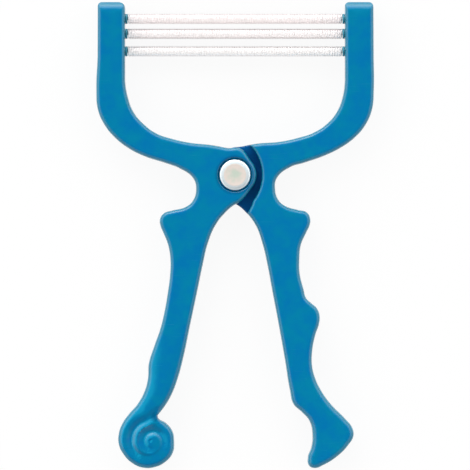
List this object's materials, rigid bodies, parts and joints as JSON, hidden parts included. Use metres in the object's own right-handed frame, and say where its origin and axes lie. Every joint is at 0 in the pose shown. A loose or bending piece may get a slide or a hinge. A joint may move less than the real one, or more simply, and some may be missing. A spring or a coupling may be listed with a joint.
{
  "type": "facial hair removal spring",
  "caption": "Plier-like hand tool: two moulded arms on a riveted pivot, with close-wound steel springs stretched between their posts to roll over the skin and pull fine hair.",
  "frame": {"origin": "on the pivot's axis, at the flat end of the rivet's tail, in the plane of the tool's flat back", "axes": "+Z out of the tool's front face along the pivot's axis, +Y from the pivot towards the posts and springs, +X towards the arm with the boot-shaped foot"},
  "size_m": [0.0837, 0.1405, 0.0084],
  "materials": {
    "blue_plastic": "moulded, semi-gloss blue",
    "dark_plastic": "moulded, dark teal",
    "spring_steel": "bright nickel-plated wire",
    "rivet_steel": "bright plated, slightly satin"
  },
  "bodies": {
    "left_body": {"left_arm": "blue_plastic", "pivot_rivet": "rivet_steel", "rivet_washer": "rivet_steel", "left_upper_plug": "dark_plastic", "left_middle_plug": "dark_plastic", "left_lower_plug": "dark_plastic", "upper_spring": "spring_steel", "middle_spring": "spring_steel", "lower_spring": "spring_steel"},
    "right_body": {"right_arm": "blue_plastic", "right_upper_plug": "dark_plastic", "right_middle_plug": "dark_plastic", "right_lower_plug": "dark_plastic"}
  },
  "joints": [
    {"name": "handle_squeeze", "type": "hinge", "parent": "left_body", "child": "right_body", "pos_m": [0, 0, 0.004], "axis": [0, 0, -1], "range_deg": [0, 27], "stiffness_Nm_per_rad": 1.36, "springref_deg": -2.86, "deforming": ["upper_spring", "middle_spring", "lower_spring"]}
  ]
}
